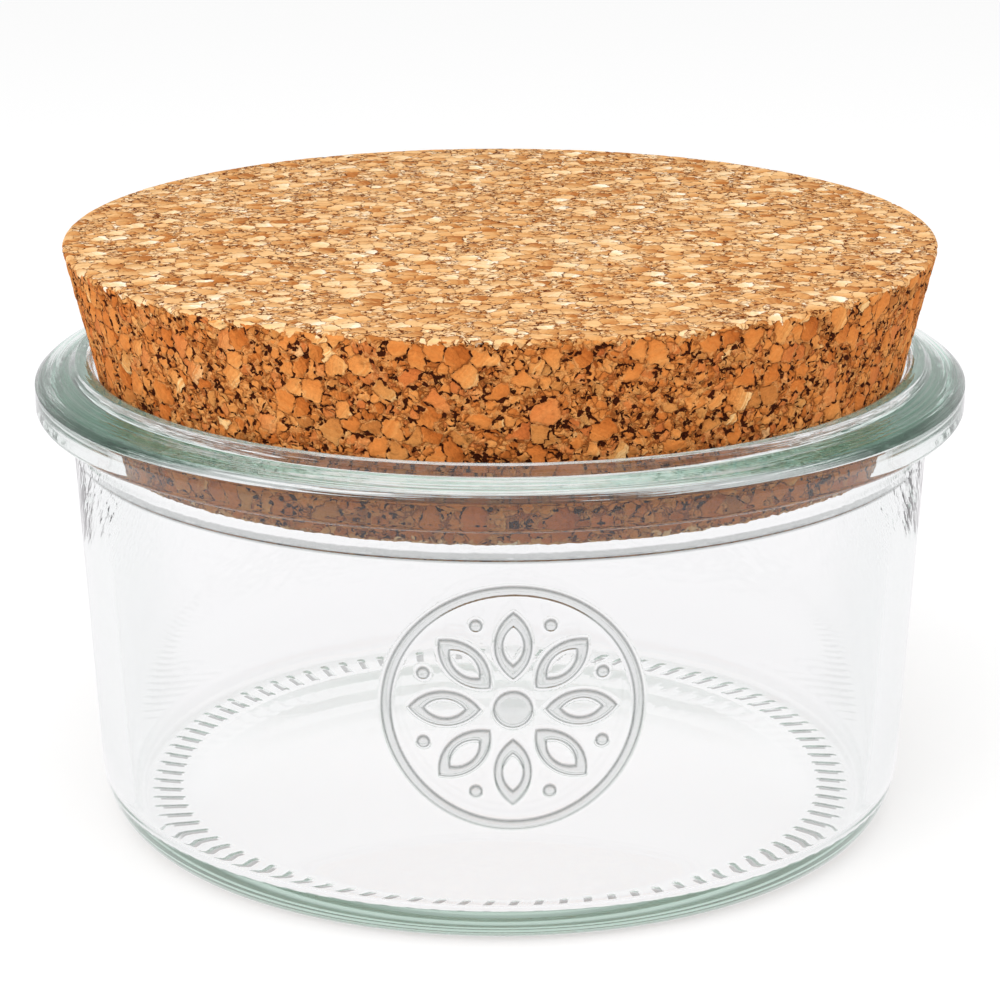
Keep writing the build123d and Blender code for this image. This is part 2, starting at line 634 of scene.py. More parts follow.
@dataclass(frozen=True)
class Rosette:
    """A raised pattern on the front of the wall: a ring, petals round an eye, and dots."""

    centre_height: float
    radius: float = 13.8
    relief: float = 0.5
    line: float = 0.9
    petal_count: int = 8
    petal_start: float = 3.5
    petal_length: float = 7.4
    petal_width: float = 3.8
    petal_line: float = 0.75
    eye_radius: float = 2.0
    dot_radius: float = 0.6
    dot_circle_share: float = 0.74
    edge: float = 0.5

    def sizes(self) -> dict[str, float]:
        """The named inputs that a tree needs for it."""
        return {
            "Rosette Height": self.centre_height,
            "Rosette Radius": self.radius,
            "Rosette Relief": self.relief,
        }

    @staticmethod
    def _inside_petal(
        along: Signal, aside: Signal, start: float, length: float, width: float
    ) -> Signal:
        """How far a point lies inside a petal between two arcs, negative outside."""
        half_length, half_width = length / 2, width / 2
        bend = (half_length**2 + half_width**2) / (2 * half_width)
        return bend - (along - (start + half_length)).distance_to(aside + (bend - half_width))

    def inside(self, radius: Signal | float, across: Signal, up: Signal) -> Signal:
        """How far a point lies inside the raised lines, negative between them.

        Args:
            radius: The rosette's radius.
            across: The point's place across the rosette, from its centre.
            up: Its place up the rosette.

        Returns:
            The distance in millimetres.
        """
        reach = across.distance_to(up)
        step = 2 * math.pi / self.petal_count
        turn = up.angle_from(across) / step
        angle = (turn - turn.nearest_whole()) * step
        along, aside = reach * angle.cosine(), abs(reach * angle.sine())
        border = self.line / 2 - abs(reach - (radius - self.line / 2))
        eye = self.eye_radius - reach
        tip = self.petal_line * self.petal_length / self.petal_width
        start, length, width = self.petal_start, self.petal_length, self.petal_width
        whole = self._inside_petal(along, aside, start, length, width)
        length, width = length - 2 * tip, width - 2 * self.petal_line
        hollow = self._inside_petal(along, aside, start + tip, length, width)
        petal = whole.least(0.0 - hollow)
        dot_place = self.radius * self.dot_circle_share
        dot_along = dot_place * math.cos(step / 2)
        dot_aside = dot_place * math.sin(step / 2)
        dot = self.dot_radius - (along - dot_along).distance_to(aside - dot_aside)
        return border.most(eye).most(petal).most(dot)

    def raised(self, inside: Signal) -> Signal:
        """The share of the relief at a point, from how far inside the lines it lies."""
        return inside.step(-self.edge / 2, self.edge / 2)


@dataclass(frozen=True)
class GlassFinish:
    """Soda-lime glass, clear through a thin wall and green through a long stretch.

    The tints are painted shade, which stands in for the dark that glass refracts: grey on the
    rosette, dark lines at the crease, the bead's edge and the knurls, and grey at the wall's edges.
    The rim's green streaks are partly the glass's own green and partly painted shade. The tints
    are fixed on the jar, apart from the wall's and the rim's, which come in as the surface turns
    away, as the edge of glass does. A turn is from 0, face on, to 1, edge on.
    The waves' width and the streaks' length are in radians round the jar.
    """

    index: float = 1.52
    body_colour: Colour = (0.667, 0.790, 0.730, 1.0)
    body_density: float = 22.0
    # Painted shade: grey on the rosette's sloping flanks, standing in for the dark that the raised
    # glass refracts there.
    flank_painted_shade: Colour = srgb(96, 102, 100)
    flank_painted_shade_share: float = 0.95
    # Painted shade: a light grey over the rosette's raised lines.
    stroke_painted_shade: Colour = srgb(186, 190, 189)
    stroke_painted_shade_share: float = 0.6
    # Painted shade: the wall greys as it turns edge on, standing in for the darker surroundings
    # that glass refracts at its edges.
    side_painted_shade: Colour = (0.93, 0.945, 0.94, 1.0)
    side_turn: Span = (0.35, 0.65)
    wall_margin: float = 0.3
    # The rim's green streaks: partly the glass's own green through its thick rim, and partly
    # painted shade that darkens them.
    rim_green_and_painted_shade: Colour = (0.32, 0.65, 0.49, 1.0)
    rim_turn: Span = (0.15, 0.60)
    rim_start: Span = (-0.3, 0.1)
    rim_radius: Span = (49.3, 50.3)
    rim_least_share: float = 0.24
    rim_streaks: Span = (0.42, 0.56)
    wave_width: float = 0.07
    wave_length: float = 7.0
    wave_drop: float = 12.0
    wave_slant: float = 2.0
    wave_height: float = 0.16
    # Painted shade: near-black lines along the shoulder's crease and along the bead's outer edge.
    dark_line_painted_shade: Colour = (0.01, 0.03, 0.02, 1.0)
    crease_core: float = 0.2
    crease_reach: float = 0.45
    dark_line_share: float = 0.65
    edge_rise: float = 0.35
    edge_core: float = 0.30
    edge_width: float = 1.0
    edge_streaks: Span = (0.40, 0.48)
    ripple_size: float = 9.0
    ripple_height: float = 0.003
    streak_length: float = 0.35
    streak_width: float = 0.35
    streak_height: float = 0.07

    def material(self, jar: "GlassJar") -> bpy.types.Material:
        """Makes the glass.

        Args:
            jar: The jar, whose rim has streaks and whose rosette's flanks get painted shade.

        Returns:
            The material.
        """
        material, work = new_material("clear_glass")
        place = work.signal("ShaderNodeTexCoord", output="Object") * (1 / MM)
        across, along, height = place.parts()
        radius = across.distance_to(along)

        inside = jar.rosette.inside(jar.rosette.radius, across, height - jar.rosette.centre_height)
        raised = jar.rosette.raised(inside)
        wall = jar.wall_radius(0) + height * jar.slope
        front = (0.0 - along).above(0.0) * radius.above(wall - jar.skin)
        # Where the rosette's flanks get painted shade.
        flank = raised * (1 - raised) * 4 * front  # the 4 brings the middle of the flank to 1
        outward = work.vector(across / radius, along / radius)
        grazing = work.signal("ShaderNodeLayerWeight", {}, {"Blend": 0.5}, "Facing")
        bead_edge = jar.height - jar.bead_edge_depth
        on_rim = height.step(*(bead_edge + reach for reach in self.rim_start))
        below_rim = 1 - height.step(jar.shoulder_height, jar.height - jar.bead_depth)
        streak_place = outward / self.streak_length + work.vector(z=height / self.streak_width)
        sockets = {"Vector": streak_place, "W": radius / self.streak_width, "Scale": 1.0}
        settings = {"noise_dimensions": "4D"}
        streak = work.signal("ShaderNodeTexNoise", settings, {**sockets, "Detail": 2.0})
        run = height / self.wave_length
        slant = work.vector(0.0, run * self.wave_slant, run)
        wave = work.noise(outward / self.wave_width + slant, size=1.0, detail=3.0)
        # Where the painted dark line runs along the shoulder's crease.
        crease_height = jar.shoulder_height + jar.crease / 2
        crease = 1 - abs(height - crease_height).step(self.crease_core, self.crease_reach)
        on_wall = radius.above(jar.bore_radius(jar.floor) - self.wall_margin) * below_rim
        # Painted shade at the wall's edges.
        tint = work.mix(grazing.step(*self.side_turn) * on_wall, WHITE, self.side_painted_shade)
        # The rim's green streaks, partly glass colour and partly painted shade.
        green = on_rim * radius.step(*self.rim_radius) * grazing.step(*self.rim_turn)
        least = self.rim_least_share
        green = green * (least + streak.step(*self.rim_streaks) * (1 - least))
        tint = work.mix(green, tint, self.rim_green_and_painted_shade)
        # Painted shade along the bead's outer edge, broken by the streaks.
        edge = 1 - abs(height - bead_edge - self.edge_rise).step(self.edge_core, self.crease_reach)
        edge = edge * streak.step(*self.edge_streaks)
        edge = edge * radius.above(jar.rim_radius - self.edge_width)
        # Painted shade: the dark lines at the crease and at the bead's edge.
        tint = work.mix(crease.most(edge) * self.dark_line_share, tint, self.dark_line_painted_shade)
        # Painted shade over the rosette's raised lines.
        tint = work.mix(raised * front * self.stroke_painted_shade_share, tint, self.stroke_painted_shade)
        # Painted shade on the rosette's flanks.
        tint = work.mix(flank * self.flank_painted_shade_share, tint, self.flank_painted_shade)
        # Painted shade along the knurls.
        tint = work.mix(jar.knurls.shade(place), tint, jar.knurls.groove_painted_shade)

        ripple = work.noise(place, self.ripple_size) * self.ripple_height
        waved = height.step(jar.shoulder_height - self.wave_drop, jar.shoulder_height) * below_rim
        relief = ripple + streak * on_rim * self.streak_height + wave * waved * self.wave_height
        sockets = {"Color": self.body_colour, "Density": self.body_density}
        body = work.signal("ShaderNodeVolumeAbsorption", {}, sockets)
        surface = {
            "Base Color": tint,
            "Roughness": 0.0,
            "IOR": self.index,
            "Transmission Weight": 1.0,
            "Normal": work.bump(relief * MM, 1.0),
        }
        work.close_material(surface, Volume=body)
        return material


@dataclass
class GlassJar:
    """The jar: floor, tapered wall, rounded rim with a groove, heel, and knurled foot."""

    rim_diameter: float = 108.0
    height: float = 55.0
    wall: float = 3.1
    draft: float = 2.96
    floor: float = 3.6
    inner_heel: float = 1.6
    overhang: float = 4.19
    shoulder_depth: float = 10.2
    neck_depth: float = 6.2
    neck_step: float = 0.64
    neck_rounding: float = 1.2
    crease: float = 0.25
    crease_rounding: float = 0.12
    bead_depth: float = 5.9
    bead_under: float = 0.9
    bead_edge_depth: float = 2.65
    bead_turn_depth: float = 1.9
    bead_turn_share: float = 0.882
    bead_turn_rounding: float = 2.5
    valley_depth: float = 1.0
    valley_share: float = 0.416
    lip_share: float = 0.29
    edge_rounding: float = 0.3
    mouth_rounding: float = 1.2
    heel_height: float = 7.5
    heel_width: float = 4.2
    foot_ring_width: float = 5.8
    foot_step_height: float = 0.07
    foot_step_run: float = 1.6
    dome_rise: float = 0.9
    rosette_centre_share: float = 0.557
    skin: float = 0.5
    rounding_steps: int = 10
    heel_steps: int = 18
    ring_guard: float = 0.3
    knurl_guards: Span = (0.15, 0.6)
    knurl_rows: int = 12
    knurl_margin: float = 0.2
    knurl_split: int = 3
    step_shares: tuple[float, ...] = (0.25, 0.5, 0.75, 1.0)
    dome_shares: tuple[float, ...] = (0.98, 0.9, 0.75, 0.5, 0.25, 0.1)
    coarser_within: tuple[tuple[float, int], ...] = ((2.0, 12), (9.0, 4), (22.0, 2))
    panel_margin: float = 0.5
    columns_per_knurl: int = 4
    panel_columns: int = 36
    panel_split: int = 4
    panel_rows: int = 136
    knurls: Knurls = field(default_factory=Knurls)
    finish: GlassFinish = field(default_factory=GlassFinish)

    def __post_init__(self) -> None:
        """Works out the sizes that follow from the others."""
        self.rim_radius = self.rim_diameter / 2
        self.shoulder_height = self.height - self.shoulder_depth
        self.slope = math.tan(math.radians(self.draft))
        rise = self.shoulder_height - self.heel_height
        self.rosette = Rosette(self.heel_height + rise * self.rosette_centre_share)
        self.columns = self.knurls.count * self.columns_per_knurl
        front = round(self.columns * FRONT_TURN)
        self.panel_start = front - self.panel_columns // 2
        self.panel_end = front + self.panel_columns // 2

    def wall_radius(self, height: float) -> float:
        """Outer radius of the tapered wall at a height."""
        at_shoulder = self.rim_radius - self.overhang
        return at_shoulder + (height - self.shoulder_height) * self.slope

    def bore_radius(self, height: float) -> float:
        """Inner radius of the wall, and of the mouth above it, at a height."""
        return self.wall_radius(height) - self.wall

    def _inside_and_rim(self) -> list[Point]:
        """The floor, bore, lip, valley, bead and neck, as far as the wall."""
        top, shoulder = self.height, self.shoulder_height
        mouth = self.bore_radius(top)
        land = self.rim_radius - mouth
        valley = mouth + land * self.valley_share
        bead_turn = mouth + land * self.bead_turn_share
        wall = self.wall_radius(shoulder)
        corners = [
            Corner(0, self.floor),
            Corner(self.bore_radius(self.floor), self.floor, self.inner_heel),
            Corner(mouth, top, self.mouth_rounding),
            Corner(mouth + land * self.lip_share, top, self.edge_rounding),
            Corner(valley, top - self.valley_depth, self.edge_rounding),
            Corner(bead_turn, top - self.bead_turn_depth, self.bead_turn_rounding),
            Corner(self.rim_radius, top - self.bead_edge_depth, self.edge_rounding),
            Corner(self.rim_radius, top - self.bead_depth, self.bead_under),
            Corner(wall + self.neck_step, top - self.neck_depth, self.neck_rounding),
            Corner(wall + self.crease, shoulder + self.crease, self.crease_rounding),
            Corner(wall, shoulder, self.crease_rounding),
            Corner(self.wall_radius(self.heel_height), self.heel_height),
        ]
        return rounded_outline(corners, self.rounding_steps)[:-1]

    def _panel_heights(self) -> tuple[float, float]:
        """The top and the bottom of the fine panel that carries the rosette."""
        reach = self.rosette.radius + self.panel_margin
        return self.rosette.centre_height + reach, self.rosette.centre_height - reach

    def _foot(self) -> list[Point]:
        """The heel, the standing ring with its step, and the domed panel, to the axis."""
        outside = self.wall_radius(self.heel_height) - self.heel_width
        inside = outside - self.foot_ring_width
        heel_reach = (self.heel_width, self.heel_height)
        heel = ellipse_arc((outside, self.heel_height), heel_reach, 0, -90, self.heel_steps)
        near, far = (self.knurls.outer_radius + guard for guard in self.knurl_guards)
        ring = [(outside - self.ring_guard, 0.0), (far, 0.0)]
        ring += [(float(radius), 0.0) for radius in np.linspace(near, inside, self.knurl_rows)]
        run, rise = self.foot_step_run, self.foot_step_height
        step = [(inside - run * share, rise * share) for share in self.step_shares]
        edge = inside - run
        sag = [(edge * share, self.dome_rise * (1 - share**2)) for share in self.dome_shares]
        dome = [(radius, rise + height) for radius, height in sag]
        return heel + ring + step + dome + [(0.0, rise + self.dome_rise)]

    def _angles(self, radius: float, height: float) -> list[float]:
        """How closely a ring is divided: finest over the knurls, coarser toward the axis."""
        outer = self.knurls.outer_radius + self.knurl_margin
        if self.knurls.inner_radius <= radius <= outer and height <= self.foot_step_height:
            return even_angles(self.columns * self.knurl_split)
        for limit, divisor in self.coarser_within:
            if radius < limit:
                return even_angles(self.columns // divisor)
        return even_angles(self.columns)

    def _panel_angles(self) -> list[float]:
        """The angles of a ring on the panel's edge: finer where the panel meets it."""
        angles = []
        for column in range(self.columns):
            split = self.panel_split if self.panel_start <= column < self.panel_end else 1
            places = [column + part / split for part in range(split)]
            angles += [2 * math.pi * place / self.columns for place in places]
        return angles

    def _add_panel(self, mesh: TurnedMesh, top: Chain, bottom: Chain, heights: Point) -> None:
        """Fills the band of wall between two rings, with the fine panel at the front.

        Args:
            mesh: The mesh that the rings belong to.
            top: The upper ring.
            bottom: The lower ring.
            heights: The rings' heights.
        """
        fine = self.panel_columns * self.panel_split
        start = self.panel_start
        rows = [top[start : start + fine + 1]]
        for height in np.linspace(*heights, self.panel_rows + 1)[1:-1]:
            radius = self.wall_radius(float(height))
            rows.append([(mesh.point(radius, float(height), angle), angle) for _, angle in rows[0]])
        rows.append(bottom[start : start + fine + 1])
        mesh.bridge_all(rows)
        left = [(row[0][0], float(index)) for index, row in enumerate(rows)]
        right = [(row[-1][0], float(index)) for index, row in enumerate(rows)]
        beside_left = [(top[start - 1][0], 0.0), (bottom[start - 1][0], float(self.panel_rows))]
        after = start + fine + 1
        beside_right = [(top[after][0], 0.0), (bottom[after][0], float(self.panel_rows))]
        mesh.bridge(left, beside_left)
        mesh.bridge(beside_right, right)
        mesh.bridge(top[:start], bottom[:start])
        mesh.bridge(top[after:], bottom[after:])

    def build(self) -> bpy.types.Object:
        """Turns the outline, presses the knurls and raises the rosette.

        Returns:
            The finished piece, riding on the jar's body.
        """
        mesh = TurnedMesh()
        outline = self._inside_and_rim()
        rings = [mesh.ring(r, z, self._angles(r, z)) for r, z in outline]
        heights = self._panel_heights()
        panel = [mesh.ring(self.wall_radius(z), z, self._panel_angles()) for z in heights]
        foot = [mesh.ring(r, z, self._angles(r, z)) for r, z in self._foot()]
        mesh.bridge_all(rings + panel[:1])
        self._add_panel(mesh, *panel, heights)
        mesh.bridge_all(panel[1:] + foot)
        piece = mesh.piece("clear_glass_jar")
        self._relief().apply_to(piece)
        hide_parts("glass_jar")
        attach(piece, "jar")
        return piece

    def _relief(self) -> ReliefTree:
        """The tree that presses the knurls into the foot and raises the rosette."""
        sizes = {**self.knurls.sizes(), **self.rosette.sizes()}
        sizes |= {"Wall Radius": self.wall_radius(0), "Wall Slope": self.slope}
        tree = ReliefTree("jar_relief", sizes)
        place = tree.place()
        across, along, height = place.parts()
        radius = across.distance_to(along)
        up = height - tree.size("Rosette Height")
        inside = self.rosette.inside(tree.size("Rosette Radius"), across, up)
        wall = tree.size("Wall Radius") + height * tree.size("Wall Slope")
        on_front = (0.0 - along).above(0.0) * radius.above(wall - self.skin)
        push = self.rosette.raised(inside) * tree.size("Rosette Relief") * on_front
        push = push / radius.most(1.0)
        lifted = height.most(self.knurls.ceiling(tree, place))
        moved = tree.vector(across * (1 + push), along * (1 + push), lifted)
        tree.finish(moved, self.finish.material(self))
        return tree


@dataclass(frozen=True)
class Grain:
    """What a point of the pressed cork is.

    Attributes:
        random: Three numbers of its granule's own, from 0 to 1.
        offset: Where the point lies from the granule's centre, in millimetres.
        edge: How far it is from the granule's border.
    """

    random: Signal
    offset: Signal
    edge: Signal

    def crumbled(self, finer: "Grain", share: float) -> "Grain":
        """Breaks some of the granules into finer ones.

        Args:
            finer: The finer granules at the same point.
            share: How many of these granules are broken.

        Returns:
            The granule that is left at the point.
        """
        broken = self.random.parts()[2].above(1 - share)
        return Grain(
            self.random.toward(finer.random, broken),
            self.offset.toward(finer.offset, broken),
            self.edge.toward(self.edge.least(finer.edge), broken),
        )

    def lean(self) -> Signal:
        """The direction in which the granule's face leans and its layers lie."""
        return self.random * 2.0 - 1.0

    def slope(self) -> Signal:
        """How far the leaning face stands out at the point, in millimetres."""
        return self.offset.along(self.lean())


@dataclass(frozen=True)
class Granules:
    """Pressed cork: big granules, some of them broken into smaller ones, with gaps between."""

    big: float = 2.2
    finer: tuple[tuple[float, float], ...] = ((1.25, 0.60), (0.65, 0.30))
    wander: float = 0.6
    wander_size: float = 1.0
    gap_size: float = 0.8
    gap_width: float = 0.17
    gap_noise: Span = (0.50, 0.64)
    gap_core_share: float = 0.7
    gap_closed: float = 0.02
    layer: float = 0.34

    def _cell(self, work: NodeWork, place: Signal, size: float) -> Grain:
        """The granule at a point, among granules of one size."""
        centre = work.cells(place, size, "F1", 2) * size
        edge = work.cells(place, size, "DISTANCE_TO_EDGE", 0) * size
        return Grain(work.cells(place, size, "F1", 1), place - centre, edge)

    def grain(self, work: NodeWork, place: Signal) -> Grain:
        """Works out the granule at a point.

        Args:
            work: The tree to build in.
            place: The point's position, in the pattern's own millimetres.

        Returns:
            The granule.
        """
        drift = (work.noise(place, self.wander_size, 3.0, 1) - 0.5) * (2 * self.wander)
        moved = place + drift
        grain = self._cell(work, moved, self.big)
        for size, share in self.finer:
            grain = grain.crumbled(self._cell(work, moved, size), share)
        return grain

    def gap(self, work: NodeWork, place: Signal, grain: Grain, share: Signal) -> Signal:
        """1 in the gaps between granules, 0 on the granules.

        Args:
            work: The tree to build in.
            place: The point's position, in the pattern's own millimetres.
            grain: The granule there.
            share: How much of the full width the gaps have there.

        Returns:
            The gap.
        """
        opening = work.noise(place, self.gap_size, 1.0).step(*self.gap_noise)
        opening = opening * share * self.gap_width
        return 1 - grain.edge.step(opening * self.gap_core_share - self.gap_closed, opening)

    def layers(self, work: NodeWork, place: Signal, grain: Grain) -> Signal:
        """The growth layers that run through each granule in its own direction, from 0 to 1."""
        settings = {"noise_dimensions": "1D"}
        waved = place + (work.noise(place, self.wander_size, 1.0, 1) - 0.5) * self.wander
        sockets = {"W": waved.along(grain.lean()) / self.layer, "Scale": 1.0, "Detail": 2.0}
        return work.signal("ShaderNodeTexNoise", settings, sockets)


@dataclass(frozen=True)
class CorkFinish:
    """Bare pressed cork: sanded and pale on the flat faces, rougher and browner on the side."""

    side_tones: tuple[tuple[float, Colour], ...] = (
        (0.00, srgb(174, 92, 36)),
        (0.22, srgb(199, 113, 50)),
        (0.48, srgb(212, 129, 62)),
        (0.72, srgb(221, 144, 76)),
        (0.88, srgb(232, 163, 94)),
        (1.00, srgb(247, 200, 138)),
    )
    face_tones: tuple[tuple[float, Colour], ...] = (
        (0.00, srgb(184, 113, 54)),
        (0.25, srgb(216, 156, 94)),
        (0.55, srgb(237, 190, 133)),
        (0.85, srgb(249, 216, 170)),
        (1.00, srgb(254, 238, 211)),
    )
    seam: Colour = srgb(132, 68, 26)
    face_seam: Colour = srgb(146, 78, 28)
    # Painted shade: near-black in the gaps between granules, which the mesh also sinks, standing in
    # for the shade inside them.
    gap_painted_shade: Colour = srgb(64, 24, 6)
    face_gap_painted_shade: Colour = srgb(112, 50, 12)
    olive: Colour = srgb(160, 122, 70)
    rose: Colour = srgb(204, 108, 64)
    # Painted highlight: a pale tan on thin bands just inside some granules' borders.
    edge_highlight_colour: Colour = srgb(238, 176, 110)
    tone_spread: float = 0.8
    side_spread_loss: float = 0.2
    cloud_size: float = 12.0
    cloud_share: float = 0.25
    # Painted light and shade: each granule is lighter on one side and darker on the other, as its
    # leaning face would be lit.
    slope_shading_share: float = 0.16
    layer_share: float = 0.40
    fibre_share: float = 0.42
    fibre_size: float = 0.40
    olive_above: float = 0.90
    rose_below: float = 0.16
    hue_share: float = 0.3
    seam_size: float = 0.9
    seam_noise: Span = (0.36, 0.54)
    seam_reach: float = 0.12
    seam_share: float = 0.85
    edge_highlight_noise: Span = (0.40, 0.54)
    edge_highlight_rise: Span = (0.0, 0.06)
    edge_highlight_fall: Span = (0.06, 0.24)
    edge_highlight_share: float = 0.5
    bump_reach: float = 0.22
    bump_edge: float = 0.14
    bump_slope: float = 0.40
    bump_layers: float = 0.12
    bump_fibre: float = 0.06
    bump_gap: float = 0.2
    face_bump_share: float = 0.4
    roughness: float = 0.9
    gloss: float = 0.1

    def material(self, cork: "CorkLid") -> bpy.types.Material:
        """Makes the cork.

        Args:
            cork: The lid, which says where its side ends and its faces begin.

        Returns:
            The material.
        """
        material, work = new_material("pressed_cork")
        place = work.signal("ShaderNodeTexCoord", output="Object") * (1 / MM)
        side = cork.on_side(place)
        grain, gap = cork.grain_and_gap(work, place, side)
        layers = cork.granules.layers(work, place, grain)
        fibre = work.noise(place, self.fibre_size, 3.0)
        cloud = work.noise(place, self.cloud_size, 1.0)
        tone, hue, _ = grain.random.parts()

        tone = 0.5 + (tone - 0.5) * (self.tone_spread - side * self.side_spread_loss)
        tone = tone + (cloud - 0.5) * self.cloud_share + (layers - 0.5) * self.layer_share
        # Painted light and shade across each granule's leaning face.
        tone = tone + grain.slope() * self.slope_shading_share
        side_colour = work.signal("ShaderNodeValToRGB", {"stops": self.side_tones}, {0: tone})
        face_colour = work.signal("ShaderNodeValToRGB", {"stops": self.face_tones}, {0: tone})
        olive = hue.above(self.olive_above) * self.hue_share
        side_colour = work.mix(olive, side_colour, self.olive)
        rose = (1 - hue.above(self.rose_below)) * self.hue_share
        side_colour = work.mix(rose, side_colour, self.rose)
        colour = work.mix(side, face_colour, side_colour)

        shade = 1 + (fibre - 0.5) * self.fibre_share
        colour = work.mix(1.0, colour, work.vector(shade, shade, shade), "MULTIPLY")
        strength = work.noise(place, self.seam_size, 1.0)
        # Painted highlight along some granules' borders.
        highlighted_edge = grain.edge.step(*self.edge_highlight_rise) - grain.edge.step(*self.edge_highlight_fall)
        highlighted_edge = highlighted_edge * (1 - strength.step(*self.edge_highlight_noise))
        colour = work.mix(highlighted_edge * self.edge_highlight_share, colour, self.edge_highlight_colour)
        seam = (1 - grain.edge.step(0.0, self.seam_reach)) * strength.step(*self.seam_noise)
        seam = seam * self.seam_share
        colour = work.mix(seam, colour, work.mix(side, self.face_seam, self.seam))
        # Painted shade in the gaps.
        colour = work.mix(gap, colour, work.mix(side, self.face_gap_painted_shade, self.gap_painted_shade))

        height = grain.edge.step(0.0, self.bump_reach) * self.bump_edge
        height = height + grain.slope() * self.bump_slope + layers * self.bump_layers
        bumpiness = self.face_bump_share + side * (1 - self.face_bump_share)
        height = (height + fibre * self.bump_fibre) * bumpiness - gap * self.bump_gap
        surface = {
            "Base Color": colour,
            "Roughness": self.roughness,
            "Specular IOR Level": self.gloss,
            "Normal": work.bump(height, MM),
        }
        work.close_material(surface)
        return material


@dataclass
class CorkLid:
    """The tapered cork that closes the jar's mouth.

    The reliefs are how deep one full level sinks. A point can be up to about 1.8 levels deep.
    """

    jar: GlassJar
    stand: float = 13.5
    insertion: float = 9.6
    taper: float = 13.4
    clearance: float = 0.25
    top_edge: float = 0.5
    bottom_edge: float = 0.8
    edge_steps: int = 3
    face_rings: int = 114
    under_rings: int = 57
    points_per_ring: int = 6
    side_rows: int = 52
    side_relief: float = 0.34
    face_relief: float = 0.10
    seam_reach: float = 0.35
    seam_level: float = 0.3
    slope_middle: float = 0.5
    slope_level: float = 0.4
    gap_level: float = 0.8
    # How far, and how raggedly, the flat faces' paler colour and finer granules reach over the
    # side's edges.
    ragged_noise: Span = (0.40, 0.75)
    ragged_reach: float = 1.1
    ragged_size: float = 1.6
    face_scale: float = 1.2
    face_gap_share: float = 0.55
    granules: Granules = field(default_factory=Granules)
    finish: CorkFinish = field(default_factory=CorkFinish)

    def __post_init__(self) -> None:
        """Works out the sizes that follow from the others."""
        self.top = self.jar.height + self.stand
        self.bottom = self.jar.height - self.insertion
        self.seat_height = self.jar.height - self.jar.mouth_rounding
        self.slope = math.tan(math.radians(self.taper))

    def radius(self, height: float) -> float:
        """Radius of the cork's cone at a height."""
        at_seat = self.jar.bore_radius(self.seat_height) - self.clearance
        return at_seat + (height - self.seat_height) * self.slope

    def on_side(self, place: Signal) -> Signal:
        """1 on the cork's side, 0 on its two flat faces, with a ragged border."""
        across, along, height = place.parts()
        in_from_side = (self.radius(0) + height * self.slope) - across.distance_to(along)
        in_from_faces = (self.top - height).least(height - self.bottom)
        # The faces reach raggedly over the side's edges.
        ragged = place.work.noise(place, self.ragged_size, 3.0).step(*self.ragged_noise)
        ragged = ragged * self.ragged_reach
        return in_from_faces.above(in_from_side + ragged)

    def grain_and_gap(self, work: NodeWork, place: Signal, side: Signal) -> tuple[Grain, Signal]:
        """The granule and the gap at a point: finer on the sanded faces than on the side."""
        place = place * (self.face_scale + side * (1 - self.face_scale))
        share = self.face_gap_share + side * (1 - self.face_gap_share)
        grain = self.granules.grain(work, place)
        return grain, self.granules.gap(work, place, grain, share)

    def _face(self, rim: float, height: float, rings: int) -> list[tuple[Point, int]]:
        """A flat face's rings inside its rim, from the axis out, with their counts of points."""
        count = self.points_per_ring
        return [((rim * ring / rings, height), ring * count) for ring in range(rings)]

    def _outline(self) -> list[tuple[Point, int]]:
        """The outline's points from the top's centre to the bottom's, with their rings' counts."""
        around = self.face_rings * self.points_per_ring
        corners = [
            Corner(0, self.top),
            Corner(self.radius(self.top), self.top, self.top_edge),
            Corner(self.radius(self.bottom), self.bottom, self.bottom_edge),
            Corner(0, self.bottom),
        ]
        points = rounded_outline(corners, self.edge_steps)[1:-1]
        face = self._face(points[0][0], self.top, self.face_rings)
        # The side is the longest drop: its rows go there, whatever the edges' roundings need.
        drops = [above[1] - below[1] for above, below in zip(points, points[1:])]
        split = drops.index(max(drops)) + 1
        upper, lower = points[:split], points[split:]
        rows = np.linspace(upper[-1], lower[0], self.side_rows + 1)[1:-1]
        body = [*upper, *(tuple(map(float, row)) for row in rows), *lower]
        under = self._face(lower[-1][0], self.bottom, self.under_rings)[::-1]
        return face + [(point, around) for point in body] + under

    def build(self) -> bpy.types.Object:
        """Turns the cork and gives it the relief of its granules.

        Returns:
            The finished piece, riding on the lid's body.
        """
        mesh = TurnedMesh()
        rings = [mesh.ring(r, z, even_angles(max(count, 1))) for (r, z), count in self._outline()]
        mesh.bridge_all(rings)
        piece = mesh.piece("pressed_cork_lid")
        self._relief().apply_to(piece)
        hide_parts("cork_lid")
        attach(piece, "lid")
        return piece

    def _relief(self) -> ReliefTree:
        """The tree that sinks the gaps and seams between granules, and never raises anything."""
        sizes = {"Side Relief": self.side_relief, "Face Relief": self.face_relief}
        tree = ReliefTree("cork_relief", sizes)
        place = tree.place()
        side = self.on_side(place)
        grain, gap = self.grain_and_gap(tree, place, side)
        depth = tree.size("Face Relief").toward(tree.size("Side Relief"), side)
        lean = (self.slope_middle - grain.slope() * self.slope_level).most(0.0) * self.slope_level
        level = (1 - grain.edge.step(0.0, self.seam_reach)) * self.seam_level + lean
        level = level + gap * self.gap_level
        normal = tree.signal("GeometryNodeInputNormal")
        tree.finish(place - normal * (level * depth), self.finish.material(self))
        return tree


class Lamp(Enum):
    """The studio's lamps: place and aim in metres, width, depth, and power in watts.

    They light the scene but are hidden from mirrored and refracted rays, because the glass would
    otherwise show the outline of a lamp on the jar's floor.
    """

    OVERHEAD = ((0.0, -0.22, 0.46), (0.0, 0.0, 0.05), 0.5, 0.4, 0.7)
    FRONT = ((-0.22, -0.50, 0.42), (0.0, 0.0, 0.04), 0.5, 0.4, 1.3)
    LEFT = ((-0.60, -0.12, 0.24), (0.0, 0.0, 0.05), 0.35, 0.30, 0.8)
    RIGHT = ((0.60, -0.12, 0.24), (0.0, 0.0, 0.05), 0.35, 0.30, 0.8)


